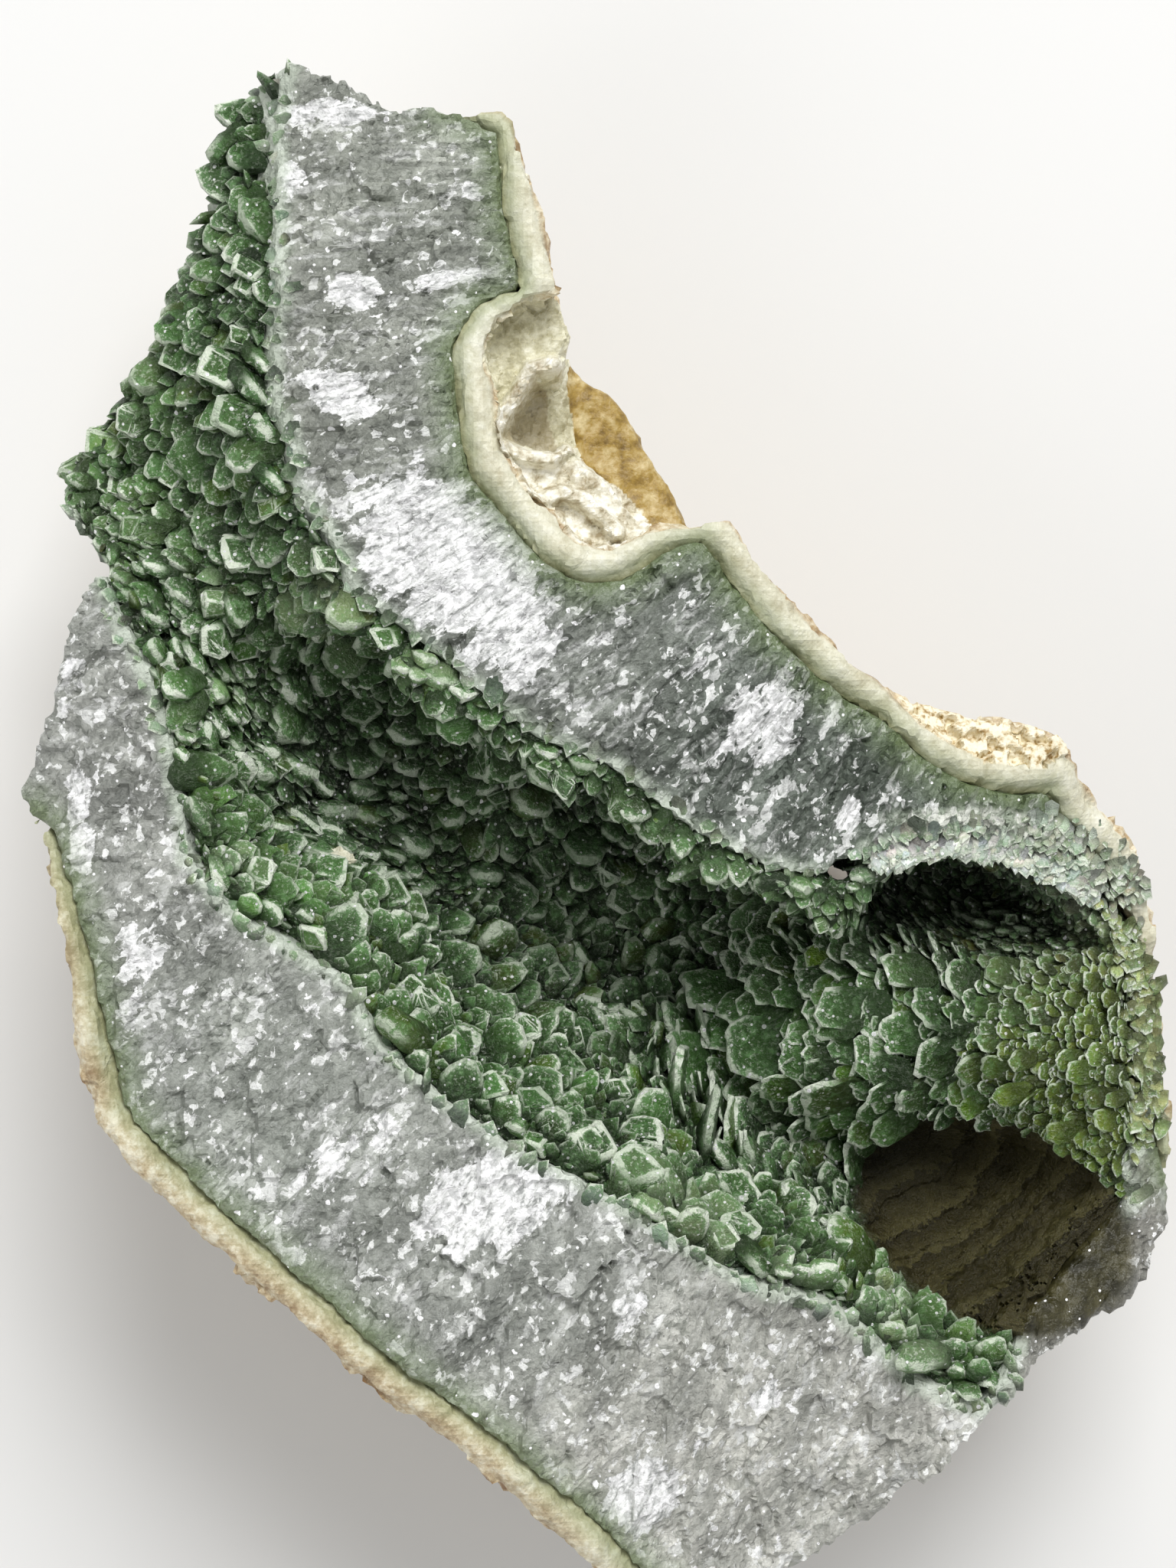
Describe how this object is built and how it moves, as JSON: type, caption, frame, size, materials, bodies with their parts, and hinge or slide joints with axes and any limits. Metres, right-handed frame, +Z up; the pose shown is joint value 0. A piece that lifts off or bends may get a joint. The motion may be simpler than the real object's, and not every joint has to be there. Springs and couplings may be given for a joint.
{
  "type": "green druzy quartz geode fragment",
  "caption": "Broken geode fragment lying on its rind, with a thick quartz wall and a deep hollow lined with green druzy quartz crystals and a lobe.",
  "frame": {"origin": "middle of the bounding box, at the height of the flat that the stone rests on", "axes": "+Z up out of the hollow, +Y along the length towards the narrow neck, +X towards the lobe"},
  "size_m": [0.0952, 0.13, 0.0412],
  "materials": {
    "quartz": "satin",
    "chalcedony": "matte",
    "crystals": "gloss"
  },
  "bodies": {
    "root": {"quartz_wall": "quartz", "rind": "chalcedony", "crystal_crust": "crystals"}
  },
  "joints": []
}
